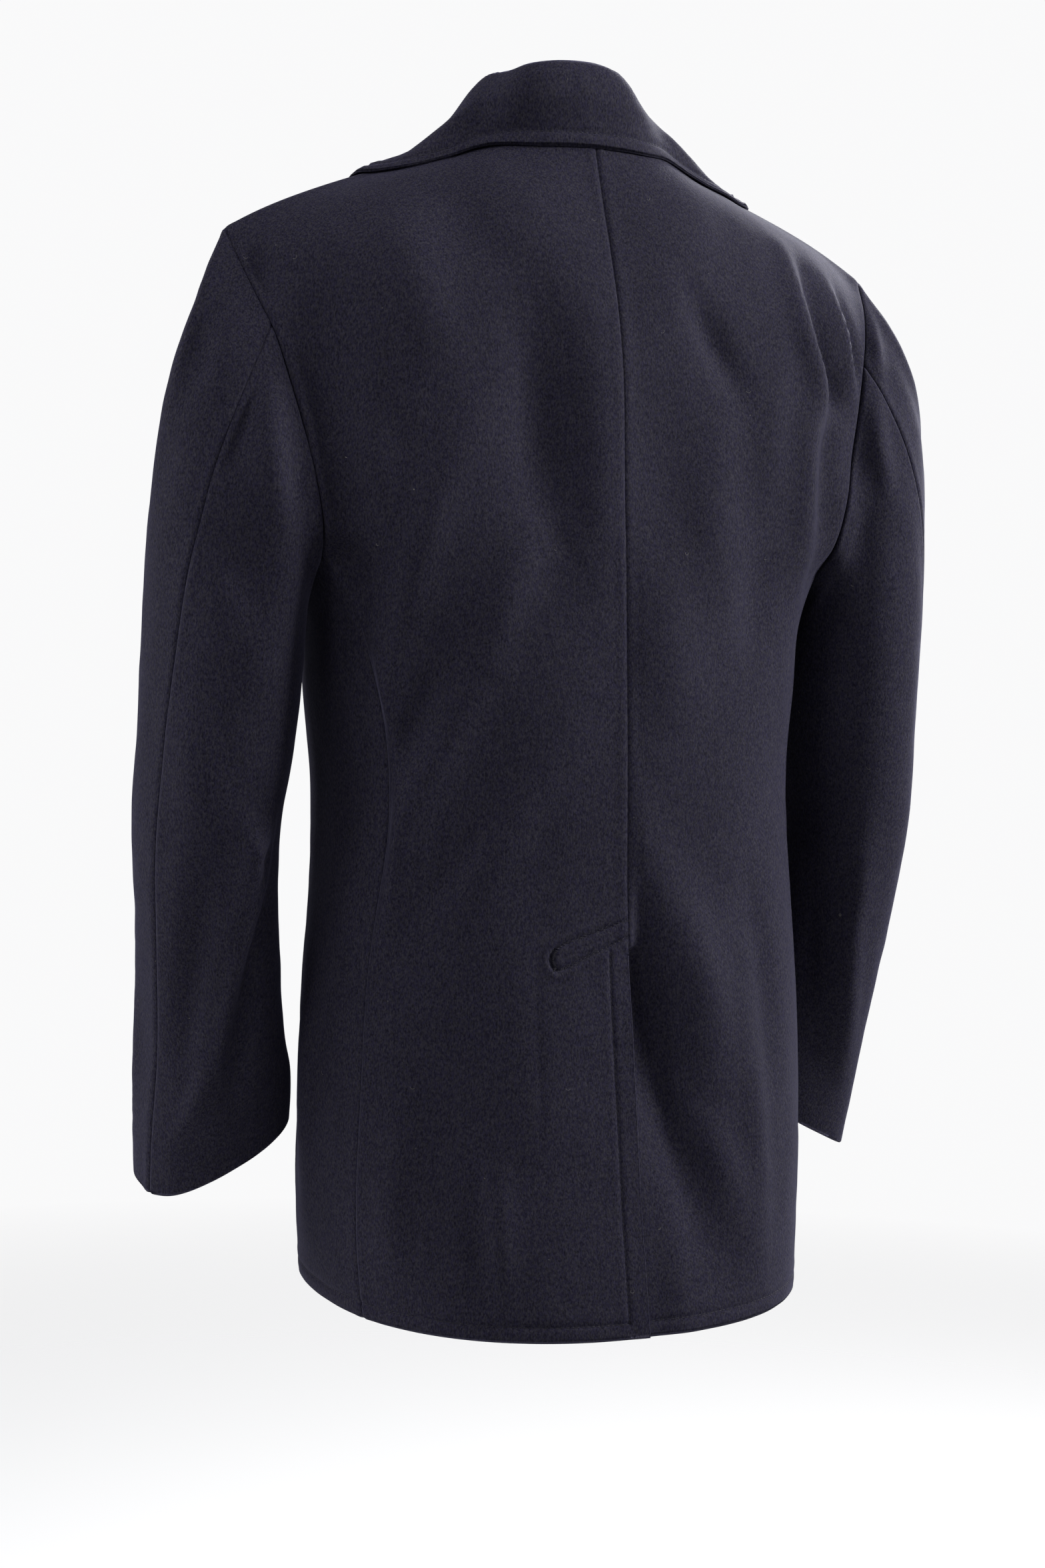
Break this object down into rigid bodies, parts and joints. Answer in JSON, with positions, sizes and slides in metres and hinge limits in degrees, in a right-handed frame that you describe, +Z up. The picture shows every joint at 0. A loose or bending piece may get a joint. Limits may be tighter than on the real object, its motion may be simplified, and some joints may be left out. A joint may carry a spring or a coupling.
{
  "type": "pea coat",
  "caption": "Dark navy double-breasted wool coat in its hollow worn form, with a wide fall collar, notched lapels, slash pockets, set-in sleeves and a back vent.",
  "frame": {"origin": "midway between the two points where the shoulder seams meet the neck, where the coat rests on its wearer's shoulders", "axes": "+Z up along the wearer, +X towards the wearer's left, -Y the way the wearer faces"},
  "size_m": [0.5788, 0.32, 0.8293],
  "materials": {
    "melton": "dense milled wool with a short matt nap",
    "horn": "satin dark plastic"
  },
  "bodies": {
    "root": {"back_left": "melton", "back_right": "melton", "front_left": "melton", "front_right": "melton", "top_sleeve_left": "melton", "top_sleeve_right": "melton", "under_sleeve_left": "melton", "under_sleeve_right": "melton", "collar": "melton", "lapel_left": "melton", "lapel_right": "melton", "pocket_welt_left": "melton", "pocket_welt_right": "melton", "vent_underlap": "melton", "button_left_1": "horn", "button_left_2": "horn", "button_left_3": "horn", "button_right_1": "horn", "button_right_2": "horn", "button_right_3": "horn"}
  },
  "joints": []
}
